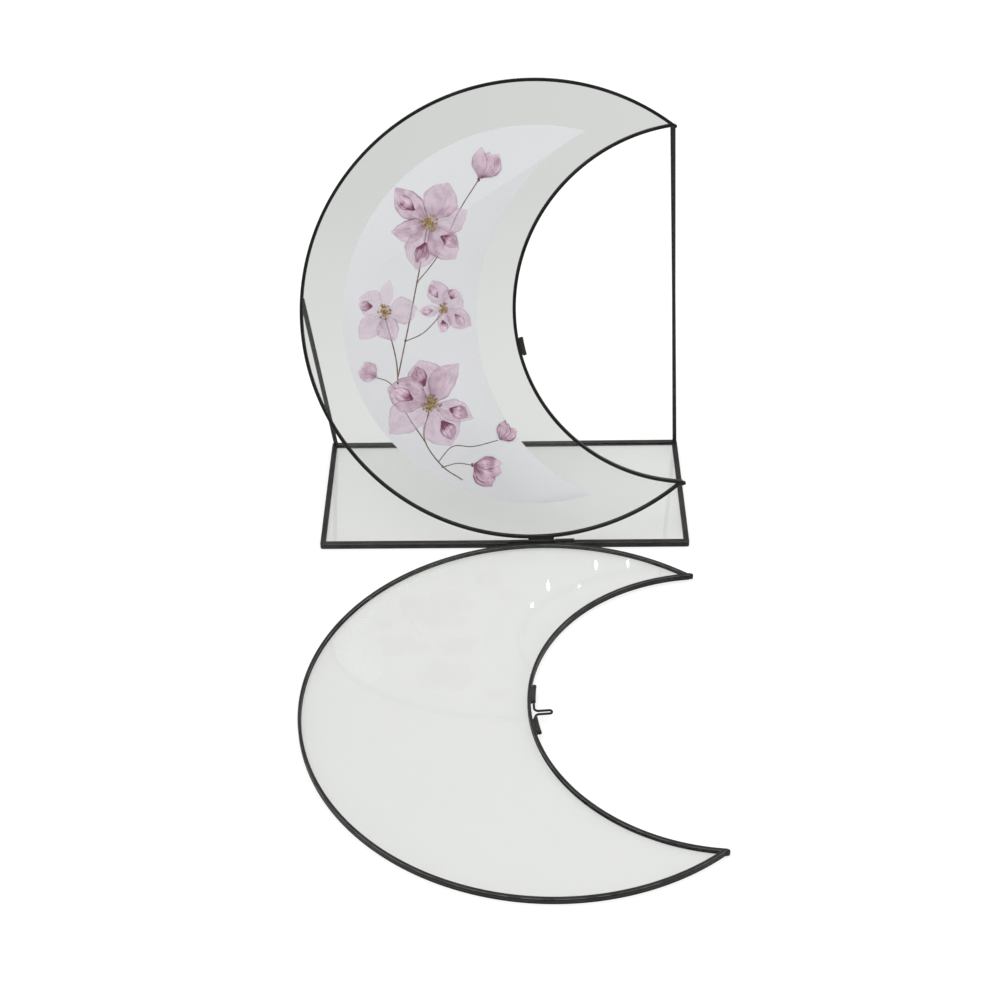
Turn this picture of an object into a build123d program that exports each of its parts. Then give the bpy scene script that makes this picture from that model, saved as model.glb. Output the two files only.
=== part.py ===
from build123d import *
from math import asin, atan2, cos, degrees, hypot, radians, sin, sqrt
import os

# A leaning crescent picture frame: two glass crescents in thin folded metal came,
# hinged together at the foot, on a flat glazed base with two wire stays.
# Millimetres. X runs along the hinge line, Y from the viewer to the back, Z up.
# The origin lies on the table, under the centre of the crescent's outer arc, on
# the line that the front bar of the base follows.

# crescent outline, shared by the standing panel and the door
arc_radius = 110.0
mouth_radius = 86.2
mouth_offset = 77.7
crescent_turn_degrees = 1.2
lean_degrees = 22.6

# folded came round the crescents
came_width = 1.6
came_depth = 3.0
came_web = 0.45
glass_thickness = 2.0
glass_clearance = 0.1
parting_gap = 0.3
tip_bead_radius = 0.9
tip_bead_reach = 0.4

# glazed base
base_length = 178.4
base_depth = 82.8
base_centre_x = -16.0
base_turn_degrees = 1.8
bar_width = 2.6
bar_height = 3.1
bar_web = 0.6
bar_corner_radius = 1.2
base_glass_thickness = 2.0

# picture card
card_thickness = 0.3
card_outer_radius = 91.2
card_inner_radius = 98.5
card_setback = 19.1
card_shift_x = 0.8
card_drop = 1.8
card_turn_degrees = 1.4
card_tip_radius = 0.8

# hinge at the foot
hinge_centre_x = 2.2
hinge_length = 32.3
knuckle_diameter = 1.8
knuckle_fixed_length = 12.6
knuckle_end_gap = 0.3
pin_diameter = 1.0
pin_clearance = 0.05
hinge_lift = 0.3
hinge_set_forward = 1.2
hinge_to_arc = 2.0

# wire stays
stay_diameter = 1.8
stay_left_height = 122.1
stay_tip_inset = 2.2
stay_bead_radius = 1.25
stay_foot_inset = 0.4

# slide bolt on the concave edge
sleeve_diameter = 1.9
sleeve_bore = 1.0
catch_bore = 1.4
wire_diameter = 0.8
sleeve_edge_gap = 0.3
catch_low = 90.8
catch_high = 99.5
sleeve_low_start = 99.9
sleeve_low_end = 110.2
sleeve_high_start = 119.8
sleeve_high_end = 130.2
wire_start = 100.1
wire_end = 131.8
loop_height = 115.0
loop_reach = 7.0
loop_leg_spacing = 1.5

# solder beads
bead_inset = 0.6
bead_rise = 1.5
bead_spread = 1.0
sleeve_bead_rise = 1.0
sleeve_bead_inset = 1.2

# cutting tools reach this far past the stock
overrun = 5.0

# worked out from the sizes above
lean = radians(lean_degrees)
half_gap = parting_gap / 2
knuckle_radius = knuckle_diameter / 2
axis_y = -hinge_set_forward
axis_z = bar_height + hinge_lift + knuckle_radius
circle_up = hinge_to_arc + arc_radius
outline_radius = arc_radius + came_width / 2
sight_radius = arc_radius - came_width / 2
mouth_edge_radius = mouth_radius - came_width / 2
mouth_sight_radius = mouth_radius + came_width / 2
groove_depth = glass_thickness + 2 * glass_clearance
bolt_radius = mouth_edge_radius - sleeve_edge_gap - sleeve_diameter / 2
card_inner_offset = mouth_offset - mouth_radius - card_setback + card_inner_radius

# the door lies open with its far edge on the table
door_fall = half_gap + came_depth
door_reach = circle_up + outline_radius
door_slope = asin(axis_z / hypot(door_fall, door_reach)) - atan2(door_fall, door_reach)
door_swing = 90 + lean_degrees + degrees(door_slope)

panel_plane = Plane(
    origin=(0, axis_y, axis_z),
    x_dir=(1, 0, 0),
    z_dir=(0, -cos(lean), sin(lean)),
)
door_plane = Plane(
    origin=(0, axis_y, axis_z),
    x_dir=(1, 0, 0),
    z_dir=(0, sin(door_slope), -cos(door_slope)),
)
leaf_turn = Pos(0, circle_up) * Rot(0, 0, crescent_turn_degrees) * Pos(0, -circle_up)
panel_place = panel_plane.location * leaf_turn
door_place = door_plane.location * leaf_turn
base_place = (
    Pos(hinge_centre_x, axis_y, 0)
    * Rot(0, 0, -base_turn_degrees)
    * Pos(-hinge_centre_x, -axis_y, 0)
)


def arc_disk(radius):
    """Disk about the centre of the outer arc, in the plane of a leaf."""
    return Pos(0, circle_up) * Circle(radius)


def mouth_disk(radius):
    """Disk about the centre of the concave mouth, in the plane of a leaf."""
    return Pos(mouth_offset, circle_up) * Circle(radius)


def slab(face, low, high):
    """A flat plate of the given outline between two depths."""
    return Pos(0, 0, low) * extrude(face, amount=high - low)


def leaf_outline():
    """The whole crescent, out to the edges of the came."""
    return arc_disk(outline_radius) - mouth_disk(mouth_edge_radius)


def leaf_depths(side):
    """Low and high depth of a leaf: side is -1 for the panel, +1 for the door."""
    near = side * half_gap
    far = side * (half_gap + came_depth)
    return min(near, far), max(near, far)


def glass_middle(side):
    return side * (half_gap + came_depth / 2)


def leaf_cames(side):
    """Outer and inner came, folded round the edge of the glass."""
    low, high = leaf_depths(side)
    middle = glass_middle(side)
    outer = arc_disk(outline_radius) - arc_disk(sight_radius) - mouth_disk(mouth_edge_radius)
    inner = (arc_disk(sight_radius) & mouth_disk(mouth_sight_radius)) - mouth_disk(mouth_edge_radius)
    groove_face = arc_disk(outline_radius - came_web) - mouth_disk(mouth_edge_radius + came_web)
    groove = slab(groove_face, middle - groove_depth / 2, middle + groove_depth / 2)
    return slab(outer, low, high) - groove, slab(inner, low, high) - groove


def leaf_glass(side):
    """Flat crescent of glass, seated in the grooves."""
    middle = glass_middle(side)
    edge = came_web + glass_clearance
    face = arc_disk(outline_radius - edge) - mouth_disk(mouth_edge_radius + edge)
    return slab(face, middle - glass_thickness / 2, middle + glass_thickness / 2)


def tip_point(radius, mouth):
    """Upper crossing of two outlines, measured from the middle of the outer arc."""
    x = (radius**2 - mouth**2 + mouth_offset**2) / (2 * mouth_offset)
    return x, sqrt(radius**2 - x**2)


def tip_beads(side):
    """Solder nub that closes each pointed end."""
    low, high = leaf_depths(side)
    x, rise = tip_point(outline_radius, mouth_edge_radius)
    reach = hypot(x, rise)
    plate = slab(leaf_outline(), low - overrun, high + overrun)
    beads = []
    for up in (1, -1):
        shift = (tip_bead_reach - tip_bead_radius) / reach
        centre = (x * (1 + shift), circle_up + up * rise * (1 + shift))
        nub = slab(Pos(*centre) * Circle(tip_bead_radius), low, high)
        beads.append((nub - plate).solids().sort_by(Axis.X)[-1])
    return Compound(children=beads)


def picture_card():
    """Loose crescent card that stands against the glass, inside the came."""
    back = -half_gap - came_depth / 2 + glass_thickness / 2
    disk = Circle(card_outer_radius)
    bite = Pos(card_inner_offset, 0) * Circle(card_inner_radius)
    face = Pos(card_shift_x, circle_up - card_drop) * Rot(0, 0, -card_turn_degrees) * (disk - bite)
    card = slab(face, back, back + card_thickness)
    return fillet(card.edges().filter_by(Axis.Z), card_tip_radius)


def base_rectangle(inset):
    """Rectangle of the base, drawn in from the outer edge of its bars."""
    length = base_length + bar_width - 2 * inset
    depth = base_depth + bar_width - 2 * inset
    return Pos(base_centre_x, base_depth / 2) * Rectangle(length, depth)


def base_bars():
    """Four mitred bars, grooved on their inner faces for the base glass."""
    half_x = (base_length + bar_width) / 2
    half_y = (base_depth + bar_width) / 2
    mid_y = base_depth / 2
    corners = [(-half_x, -half_y), (half_x, -half_y), (half_x, half_y), (-half_x, half_y)]
    stock = slab(base_rectangle(0), 0, bar_height)
    stock = fillet(stock.edges().filter_by(Axis.Z), bar_corner_radius)
    stock = stock - slab(base_rectangle(bar_width), -overrun, bar_height + overrun)
    middle = bar_height / 2
    slot = base_glass_thickness / 2 + glass_clearance
    stock = stock - slab(base_rectangle(bar_web), middle - slot, middle + slot)
    bars = []
    for index, (ax, ay) in enumerate(corners):
        bx, by = corners[(index + 1) % len(corners)]
        shape = Polygon(
            (base_centre_x + ax, mid_y + ay),
            (base_centre_x + bx, mid_y + by),
            (base_centre_x + bx - half_y * bx / half_x, mid_y + by - half_y * by / half_y),
            (base_centre_x + ax - half_y * ax / half_x, mid_y + ay - half_y * ay / half_y),
            align=None,
        )
        bars.append(base_place * (stock & slab(shape, -overrun, bar_height + overrun)))
    return bars


def base_glass():
    middle = bar_height / 2
    face = base_rectangle(bar_web + glass_clearance)
    half = base_glass_thickness / 2
    return base_place * slab(face, middle - half, middle + half)


def rod(start, end, diameter):
    """Round bar between two points."""
    start = Vector(*start)
    run = Vector(*end) - start
    return Solid.make_cylinder(diameter / 2, run.length, Plane(origin=start, z_dir=run))


def hinge_span(low, high, diameter):
    return rod((low, axis_y, axis_z), (high, axis_y, axis_z), diameter)


def knuckle(low, high):
    bore = pin_diameter + 2 * pin_clearance
    return hinge_span(low, high, knuckle_diameter) - hinge_span(low - overrun, high + overrun, bore)


def knuckle_spans():
    """X spans of the left, fixed and right knuckles."""
    low = hinge_centre_x - hinge_length / 2
    high = hinge_centre_x + hinge_length / 2
    inner_low = hinge_centre_x - knuckle_fixed_length / 2
    inner_high = hinge_centre_x + knuckle_fixed_length / 2
    return (
        (low, inner_low - knuckle_end_gap),
        (inner_low, inner_high),
        (inner_high + knuckle_end_gap, high),
    )


def in_plane(plane, point):
    """World Y and Z of a point given by height and depth in a leaf's plane."""
    spot = plane.from_local_coords(Vector(0, point[0], point[1]))
    return spot.Y, spot.Z


def profile_bead(points, low, high):
    """Bead with the given YZ outline, running along X."""
    wire_points = [(low, y, z) for y, z in points]
    face = Face(Wire.make_polygon(wire_points, close=True))
    return Solid.extrude(face, Vector(high - low, 0, 0))


def hinge_foot_bead():
    """Solder that holds the standing panel and the fixed knuckle to the front bar."""
    low, high = knuckle_spans()[1]
    back = -half_gap - came_depth
    points = [
        (axis_y - knuckle_radius / 2, bar_height),
        (bar_width / 2, bar_height),
        in_plane(panel_plane, (hinge_to_arc - came_width / 2, back + came_depth / 5)),
        in_plane(panel_plane, (hinge_to_arc, back + came_depth / 4)),
        in_plane(panel_plane, (hinge_to_arc, -parting_gap)),
        in_plane(panel_plane, (0, -half_gap)),
        (axis_y - knuckle_radius / 2, axis_z),
    ]
    bead = profile_bead(points, low, high)
    bead = bead - hinge_span(low - overrun, high + overrun, knuckle_diameter)
    plate = panel_place * slab(leaf_outline(), *leaf_depths(-1))
    return largest(bead - plate)


def largest(shape):
    return shape.solids().sort_by(SortBy.VOLUME)[-1]


def hinge_leaf_beads():
    """Solder that joins the two moving knuckles to the came of the door."""
    left, fixed, right = knuckle_spans()
    plate = door_place * slab(leaf_outline(), *leaf_depths(1))
    knuckles = hinge_span(left[0] - overrun, right[1] + overrun, knuckle_diameter)
    points = [
        in_plane(door_plane, (0, half_gap)),
        in_plane(door_plane, (hinge_to_arc + bead_spread, half_gap)),
        in_plane(door_plane, (hinge_to_arc + bead_spread, half_gap + bead_rise)),
        in_plane(door_plane, (hinge_to_arc - came_width / 2, half_gap + bead_rise)),
        in_plane(door_plane, (knuckle_radius / 2, knuckle_radius)),
        in_plane(door_plane, (0, knuckle_radius)),
    ]
    left_bead = profile_bead(points, left[0], left[1] - bead_inset)
    right_bead = profile_bead(points, right[0] + bead_inset, right[1])
    return Compound(children=[largest(bead - knuckles - plate) for bead in (left_bead, right_bead)])


def panel_point(x, height, depth):
    """World point of the panel from its X, height above the foot of the arc, and depth."""
    return (panel_place * Pos(x, hinge_to_arc + height, depth)).position


def base_point(x, y, z):
    return (base_place * Pos(x, y, z)).position


def stay_lines():
    """Foot and head of the right and the left stay, and where each head sits."""
    back = -half_gap - came_depth
    right_x = base_centre_x + base_length / 2 - stay_foot_inset
    left_x = base_centre_x - base_length / 2 + stay_foot_inset
    rear = base_depth - stay_foot_inset
    tip_x, tip_rise = tip_point(arc_radius, mouth_radius)
    reach = hypot(tip_x, tip_rise)
    share = (reach - stay_tip_inset) / reach
    right_head = panel_point(tip_x * share, arc_radius + tip_rise * share, back)
    side_rise = stay_left_height - arc_radius
    left_head = panel_point(-sqrt(arc_radius**2 - side_rise**2), stay_left_height, back)
    return (
        (base_point(right_x, rear, bar_height), right_head),
        (base_point(left_x, rear, bar_height), left_head),
    )


def stay_limits():
    """Blocks in front of the panel's back face and below the top of the bars."""
    back = -half_gap - came_depth
    reach = circle_up + outline_radius
    block = Box(2 * reach, 2 * reach, reach, align=(Align.CENTER, Align.CENTER, Align.MIN))
    front_side = panel_plane.location * Pos(0, circle_up, back) * block
    under = Pos(0, 0, bar_height) * Rot(180, 0, 0) * block
    return front_side, under


def stays():
    """Straight wires, cut flat on the bar and flush on the back of the came."""
    front_side, under = stay_limits()
    pieces = []
    for foot, head in stay_lines():
        run = (head - foot).normalized() * overrun
        piece = rod(foot - run, head + run, stay_diameter) - front_side - under
        pieces.append(largest(piece))
    return pieces


def stay_beads():
    """Solder collars at the head and the foot of each stay."""
    front_side, under = stay_limits()
    beads = []
    for foot, head in stay_lines():
        run = (head - foot).normalized() * overrun
        wire = rod(foot - run, head + run, stay_diameter)
        beads.append(largest(Pos(*head) * Sphere(stay_bead_radius) - wire - front_side))
        beads.append(largest(Pos(*foot) * Sphere(stay_bead_radius) - wire - under))
    return Compound(children=beads)


def bolt_angle(height):
    """Angle on the bolt's circle of a point at this height above the foot."""
    return degrees(asin((height - arc_radius) / bolt_radius))


def along_mouth(section, low, high):
    """Sweep a section round the mouth's centre between two heights."""
    start = bolt_angle(high)
    sweep = start - bolt_angle(low)
    placed = Plane.XZ * section
    solid = revolve(placed, axis=Axis.Z, revolution_arc=sweep)
    return Pos(mouth_offset, circle_up) * Rot(0, 0, -start) * solid


def ring_section(diameter, bore):
    return Pos(-bolt_radius, 0) * (Circle(diameter / 2) - Circle(bore / 2))


def sleeve_bead(side, low, high):
    """Solder between a sleeve and the concave edge of its own leaf."""
    near = side * half_gap
    far = side * (half_gap + sleeve_bead_rise)
    low_z, high_z = min(near, far), max(near, far)
    inner = -bolt_radius
    outer = -mouth_edge_radius
    section = Polygon((inner, low_z), (inner, high_z), (outer, high_z), (outer, low_z), align=None)
    section = section - Pos(inner, 0) * Circle(sleeve_diameter / 2)
    return largest(along_mouth(section, low + sleeve_bead_inset, high - sleeve_bead_inset))


def latch_wire():
    """Bent wire: two coaxial runs with a narrow closed loop as its handle."""
    radius = wire_diameter / 2
    half_leg = loop_leg_spacing / 2
    leg_angle = degrees(asin(half_leg / bolt_radius))
    middle = bolt_angle(loop_height)
    circle = Pos(-bolt_radius, 0) * Circle(radius)
    lower = along_mouth(circle, wire_start, arc_radius + bolt_radius * sin(radians(middle - leg_angle)))
    upper = along_mouth(circle, arc_radius + bolt_radius * sin(radians(middle + leg_angle)), wire_end)
    root_x = -bolt_radius * cos(radians(leg_angle))
    end_x = -bolt_radius + loop_reach - half_leg
    loop = Pos(root_x, half_leg) * Sphere(radius) + Pos(root_x, -half_leg) * Sphere(radius)
    for y in (half_leg, -half_leg):
        loop = loop + rod((root_x, y, 0), (end_x, y, 0), wire_diameter)
    turn = revolve(Plane.YZ * Pos(-half_leg, 0) * Circle(radius), axis=Axis.Z, revolution_arc=180)
    loop = loop + Pos(end_x, 0) * turn
    loop = Pos(mouth_offset, circle_up) * Rot(0, 0, -middle) * loop
    return lower + upper + loop


def build_nodes():
    """Every separate piece, by node name, placed in the shared frame."""
    nodes = {}
    front, right, rear, left = base_bars()
    nodes["base_bar_front"] = front
    nodes["base_bar_right"] = right
    nodes["base_bar_rear"] = rear
    nodes["base_bar_left"] = left
    nodes["base_glass"] = base_glass()

    outer, inner = leaf_cames(-1)
    nodes["panel_came_outer"] = panel_place * outer
    nodes["panel_came_inner"] = panel_place * inner
    nodes["panel_glass"] = panel_place * leaf_glass(-1)
    nodes["panel_tip_solder"] = panel_place * tip_beads(-1)
    nodes["picture_card"] = panel_place * picture_card()

    nodes["stay_right"], nodes["stay_left"] = stays()
    nodes["stay_solder"] = stay_beads()

    spans = knuckle_spans()
    nodes["hinge_knuckle_fixed"] = knuckle(*spans[1])
    nodes["hinge_pin"] = hinge_span(spans[0][0], spans[2][1], pin_diameter)
    nodes["hinge_foot_solder"] = hinge_foot_bead()

    catch = ring_section(sleeve_diameter, catch_bore)
    nodes["catch_tube"] = panel_place * along_mouth(catch, catch_low, catch_high)
    nodes["catch_solder"] = panel_place * sleeve_bead(-1, catch_low, catch_high)

    outer, inner = leaf_cames(1)
    nodes["door_came_outer"] = door_place * outer
    nodes["door_came_inner"] = door_place * inner
    nodes["door_glass"] = door_place * leaf_glass(1)
    nodes["door_tip_solder"] = door_place * tip_beads(1)
    nodes["hinge_knuckle_left"] = knuckle(*spans[0])
    nodes["hinge_knuckle_right"] = knuckle(*spans[2])
    nodes["hinge_leaf_solder"] = hinge_leaf_beads()

    sleeve = ring_section(sleeve_diameter, sleeve_bore)
    nodes["latch_sleeve_lower"] = door_place * along_mouth(sleeve, sleeve_low_start, sleeve_low_end)
    nodes["latch_sleeve_upper"] = door_place * along_mouth(sleeve, sleeve_high_start, sleeve_high_end)
    beads = [
        sleeve_bead(1, sleeve_low_start, sleeve_low_end),
        sleeve_bead(1, sleeve_high_start, sleeve_high_end),
    ]
    nodes["latch_sleeve_solder"] = door_place * Compound(children=beads)
    nodes["latch_wire"] = door_place * latch_wire()
    return nodes


def main():
    os.makedirs("parts", exist_ok=True)
    nodes = build_nodes()
    for name, shape in nodes.items():
        export_step(shape, "parts/" + name + ".step")
    print("nodes", len(nodes))
    print("door swing, degrees", round(door_swing, 3))
    bolt_centre = (door_place * Pos(mouth_offset, circle_up, 0)).position
    print("bolt centre, mm", [round(v, 4) for v in bolt_centre])
    print("door normal", [round(v, 6) for v in door_plane.z_dir])
    print("hinge axis y, z", axis_y, axis_z)


main()
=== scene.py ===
import bpy, bmesh, math, random
from mathutils import Matrix, Vector


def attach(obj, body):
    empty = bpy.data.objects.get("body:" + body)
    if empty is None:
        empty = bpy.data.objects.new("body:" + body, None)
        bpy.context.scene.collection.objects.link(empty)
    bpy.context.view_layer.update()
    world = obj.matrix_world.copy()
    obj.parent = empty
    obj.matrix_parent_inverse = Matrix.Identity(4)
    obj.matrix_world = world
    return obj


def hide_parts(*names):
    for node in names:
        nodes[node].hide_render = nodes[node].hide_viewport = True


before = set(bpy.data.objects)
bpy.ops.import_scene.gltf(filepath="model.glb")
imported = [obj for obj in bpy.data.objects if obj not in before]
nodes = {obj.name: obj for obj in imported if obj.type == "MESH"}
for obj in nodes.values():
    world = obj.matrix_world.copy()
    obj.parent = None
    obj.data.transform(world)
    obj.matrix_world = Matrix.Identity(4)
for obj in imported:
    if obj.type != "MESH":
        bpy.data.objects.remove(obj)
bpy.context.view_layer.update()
mm = 0.001
print("frame loaded,", len(nodes), "nodes")

# camera, at the photograph's angle
cameraSet = {
    "place": (-0.032439784, -0.721505837, 0.588154435),
    "pitch": 0.627226, "yaw": -0.023222, "roll": 0.041351,  # radians
    "focal": 1891.082, "frameSize": 984,  # pixels
    "shift": (0.060976, -0.050813),
}


def addCamera(values):
    pitch, yaw, roll = values["pitch"], values["yaw"], values["roll"]
    ahead = Vector((math.sin(yaw) * math.cos(pitch), math.cos(yaw) * math.cos(pitch), -math.sin(pitch)))
    level = Vector((math.cos(yaw), -math.sin(yaw), 0))
    down = ahead.cross(level)
    right = level * math.cos(roll) + down * math.sin(roll)
    fall = down * math.cos(roll) - level * math.sin(roll)
    lens = bpy.data.cameras.new("viewCamera")
    lens.sensor_width = 36
    lens.lens = values["focal"] / values["frameSize"] * lens.sensor_width
    lens.shift_x, lens.shift_y = values["shift"]
    lens.clip_start, lens.clip_end = 0.01, 60
    cam = bpy.data.objects.new("viewCamera", lens)
    bpy.context.scene.collection.objects.link(cam)
    turn = Matrix((right, -fall, -ahead)).transposed().to_4x4()
    cam.matrix_world = Matrix.Translation(values["place"]) @ turn
    bpy.context.scene.camera = cam


addCamera(cameraSet)
bpy.context.scene.view_settings.view_transform = "Standard"


# small helpers for edit mode
def clearPick():
    if bpy.context.object and bpy.context.object.mode != "OBJECT":
        bpy.ops.object.mode_set(mode="OBJECT")
    bpy.ops.object.select_all(action="DESELECT")


def onlyPick(piece):
    clearPick()
    piece.select_set(True)
    bpy.context.view_layer.objects.active = piece


def startEdit(name):
    piece = bpy.context.object
    piece.name = name
    piece.data.name = name
    bpy.ops.object.transform_apply(location=True, rotation=True, scale=True)
    bpy.ops.object.mode_set(mode="EDIT")
    bpy.ops.mesh.select_all(action="SELECT")
    return piece


def pick(kind, test):
    bpy.ops.mesh.select_mode(type=kind)
    bpy.ops.mesh.select_all(action="DESELECT")
    data = bpy.context.object.data
    mesh = bmesh.from_edit_mesh(data)
    for part in {"VERT": mesh.verts, "EDGE": mesh.edges, "FACE": mesh.faces}[kind]:
        if test(part):
            part.select_set(True)
    bmesh.update_edit_mesh(data)


def spot(part):  # middle of an edge or face
    return sum((v.co for v in part.verts), Vector()) / len(part.verts)


def useModifier(piece, kind, **values):
    onlyPick(piece)
    modifier = piece.modifiers.new(kind.lower(), kind)
    for key, value in values.items():
        setattr(modifier, key, value)
    bpy.ops.object.modifier_apply(modifier=modifier.name)


def closeMesh(piece, angle=40):
    onlyPick(piece)
    bpy.ops.object.mode_set(mode="EDIT")
    bpy.ops.mesh.select_mode(type="VERT")
    bpy.ops.mesh.select_all(action="SELECT")
    bpy.ops.mesh.remove_doubles(threshold=0.0005)
    bpy.ops.mesh.normals_make_consistent(inside=False)
    bpy.ops.object.mode_set(mode="OBJECT")
    bpy.ops.object.shade_smooth_by_angle(angle=math.radians(angle))


def place(piece, where):
    # millimetres in a leaf's or the base's own frame become metres in the shared frame
    onlyPick(piece)
    piece.matrix_world = where @ Matrix.Scale(mm, 4)
    bpy.ops.object.transform_apply(location=True, rotation=True, scale=True)


def copyOf(piece, name):
    twin = piece.copy()
    twin.data = piece.data.copy()
    twin.name = twin.data.name = name
    bpy.context.scene.collection.objects.link(twin)
    return twin


def joined(pieces, name):
    clearPick()
    for piece in pieces:
        piece.select_set(True)
    bpy.context.view_layer.objects.active = pieces[0]
    if len(pieces) > 1:
        bpy.ops.object.join()
    piece = bpy.context.object
    piece.name = piece.data.name = name
    bpy.ops.object.transform_apply(location=True, rotation=True, scale=True)
    return piece


def paintRimHighlight(piece, test):  # painted highlight: rounded rims marked to be painted lighter, where they catch the light
    rimHighlight = piece.data.attributes.new("rimHighlight", "FLOAT", "POINT")
    rimHighlight.data.foreach_set("value", [1.0 if test(v.co) else 0.0 for v in piece.data.vertices])


def finishPiece(piece, material, body, replaced):
    piece.data.materials.clear()
    piece.data.materials.append(material)
    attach(piece, body)
    if replaced:
        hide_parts(*replaced)


# node helpers
def newGroup(name, wants, gives):
    group = bpy.data.node_groups.new(name, "ShaderNodeTree")
    for label, kind, value in wants:
        socket = group.interface.new_socket(name=label, in_out="INPUT", socket_type="NodeSocket" + kind)
        socket.default_value = value
    for label, kind in gives:
        group.interface.new_socket(name=label, in_out="OUTPUT", socket_type="NodeSocket" + kind)
    return group, group.nodes.new("NodeGroupInput"), group.nodes.new("NodeGroupOutput")


def addNoise(tree, coords, scale, detail=3.0):
    noise = tree.nodes.new("ShaderNodeTexNoise")
    noise.inputs["Detail"].default_value = detail
    noise.inputs["Scale"].default_value = scale
    tree.links.new(coords, noise.inputs["Vector"])
    return noise.outputs["Fac"]


def addRange(tree, value, low, high, toLow=0.0, toHigh=1.0):
    span = tree.nodes.new("ShaderNodeMapRange")
    tree.links.new(value, span.inputs["Value"])
    for label, number in (("From Min", low), ("From Max", high), ("To Min", toLow), ("To Max", toHigh)):
        if isinstance(number, bpy.types.NodeSocket):
            tree.links.new(number, span.inputs[label])
        else:
            span.inputs[label].default_value = number
    return span.outputs["Result"]


def addMath(tree, kind, first, second):
    step = tree.nodes.new("ShaderNodeMath")
    step.operation = kind
    for socket, value in zip(step.inputs, (first, second)):
        if isinstance(value, bpy.types.NodeSocket):
            tree.links.new(value, socket)
        else:
            socket.default_value = value
    return step.outputs[0]


def addMix(tree, share, first, second):
    mix = tree.nodes.new("ShaderNodeMix")
    mix.data_type = "RGBA"
    for socket, value in ((mix.inputs[0], share), (mix.inputs[6], first), (mix.inputs[7], second)):
        if isinstance(value, bpy.types.NodeSocket):
            tree.links.new(value, socket)
        else:
            socket.default_value = value
    return mix.outputs[2]


def startMaterial(name):
    material = bpy.data.materials.new(name)
    material.use_nodes = True
    tree = material.node_tree
    return material, tree, tree.nodes["Principled BSDF"]


def addBump(tree, shader, height, distance, strength=1.0):
    bump = tree.nodes.new("ShaderNodeBump")
    bump.inputs["Distance"].default_value = distance
    bump.inputs["Strength"].default_value = strength
    tree.links.new(height, bump.inputs["Height"])
    tree.links.new(bump.outputs["Normal"], shader.inputs["Normal"])


def patinaAndSheenGroup():
    # blotches, fine grain and rubbed spots of blackened metal, and a painted highlight on the marked rims
    group, give, out = newGroup(
        "blackPatinaAndSheen",
        (("Dark", "Color", (0, 0, 0, 1)), ("Pale", "Color", (0.1, 0.1, 0.1, 1)),
         ("BareAndSheen", "Color", (0.3, 0.3, 0.3, 1)), ("Rubbed", "Float", 0.1), ("Rough", "Float", 0.4)),
        (("Color", "Color"), ("Roughness", "Float"), ("Height", "Float")),
    )
    coords = group.nodes.new("ShaderNodeTexCoord").outputs["Object"]
    blotch = addRange(group, addNoise(group, coords, 90, 4), 0.35, 0.65)
    grain = addNoise(group, coords, 2600, 2)
    scuff = addNoise(group, coords, 420, 5)
    edge = addMath(group, "SUBTRACT", 0.86, give.outputs["Rubbed"])
    # painted highlight: the marked rims take the bare colour in patches, standing in for the light lines they catch
    rimHighlight = group.nodes.new("ShaderNodeAttribute")
    rimHighlight.attribute_name = "rimHighlight"
    patches = addRange(group, addNoise(group, coords, 160, 4), 0.36, 0.6, 0.15, 0.8)
    litRim = addMath(group, "MULTIPLY", rimHighlight.outputs["Fac"], patches)
    rubAndRimHighlight = addMath(group, "MAXIMUM", addRange(group, scuff, edge, 0.9), litRim)
    body = addMix(group, blotch, give.outputs["Dark"], give.outputs["Pale"])
    group.links.new(addMix(group, rubAndRimHighlight, body, give.outputs["BareAndSheen"]), out.inputs["Color"])
    rough = addMath(group, "ADD", give.outputs["Rough"], addRange(group, scuff, 0.3, 0.7, -0.08, 0.12))
    group.links.new(rough, out.inputs["Roughness"])
    height = addMath(group, "ADD", addMath(group, "MULTIPLY", grain, 0.35), blotch)
    group.links.new(height, out.inputs["Height"])
    return group


def metalMaterial(name, values):
    material, tree, shader = startMaterial(name)
    use = tree.nodes.new("ShaderNodeGroup")
    use.node_tree = patinaAndSheen
    for label in ("Dark", "Pale", "BareAndSheen"):
        use.inputs[label].default_value = (*values[label.lower()], 1)
    use.inputs["Rubbed"].default_value = values["rubbed"]
    use.inputs["Rough"].default_value = values["rough"]
    tree.links.new(use.outputs["Color"], shader.inputs["Base Color"])
    tree.links.new(use.outputs["Roughness"], shader.inputs["Roughness"])
    shader.inputs["Metallic"].default_value = values["metal"]
    shader.inputs["Specular IOR Level"].default_value = values["shine"]
    addBump(tree, shader, use.outputs["Height"], values["relief"])
    return material


patinaAndSheen = patinaAndSheenGroup()
cameLook = {"dark": (0.004, 0.004, 0.0038), "pale": (0.012, 0.012, 0.0105), "bareandsheen": (0.07, 0.07, 0.066),
            "rubbed": 0.08, "rough": 0.36, "metal": 0.0, "shine": 0.45, "relief": 0.00002}
# painted light: the door's came is a lighter copy of the came's colours, as it lies nearer the lamps
doorLitLook = dict(cameLook, dark=(0.006, 0.006, 0.0055), pale=(0.020, 0.020, 0.018), bareandsheen=(0.17, 0.17, 0.165),
                rough=0.34)
barLook = dict(cameLook, dark=(0.006, 0.0056, 0.005), pale=(0.028, 0.025, 0.021), bareandsheen=(0.10, 0.095, 0.085),
               rough=0.4)
wireLook = dict(cameLook, dark=(0.005, 0.005, 0.005), rough=0.34, rubbed=0.05)
tubeLook = dict(cameLook, dark=(0.008, 0.008, 0.007), pale=(0.022, 0.022, 0.02), rubbed=0.14, rough=0.34)
solderLook = {"dark": (0.007, 0.007, 0.006), "pale": (0.03, 0.03, 0.027), "bareandsheen": (0.42, 0.42, 0.40),
              "rubbed": 0.2, "rough": 0.3, "metal": 0.0, "shine": 0.5, "relief": 0.00004}
pinLook = dict(tubeLook, metal=0.6, rough=0.25)
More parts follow.
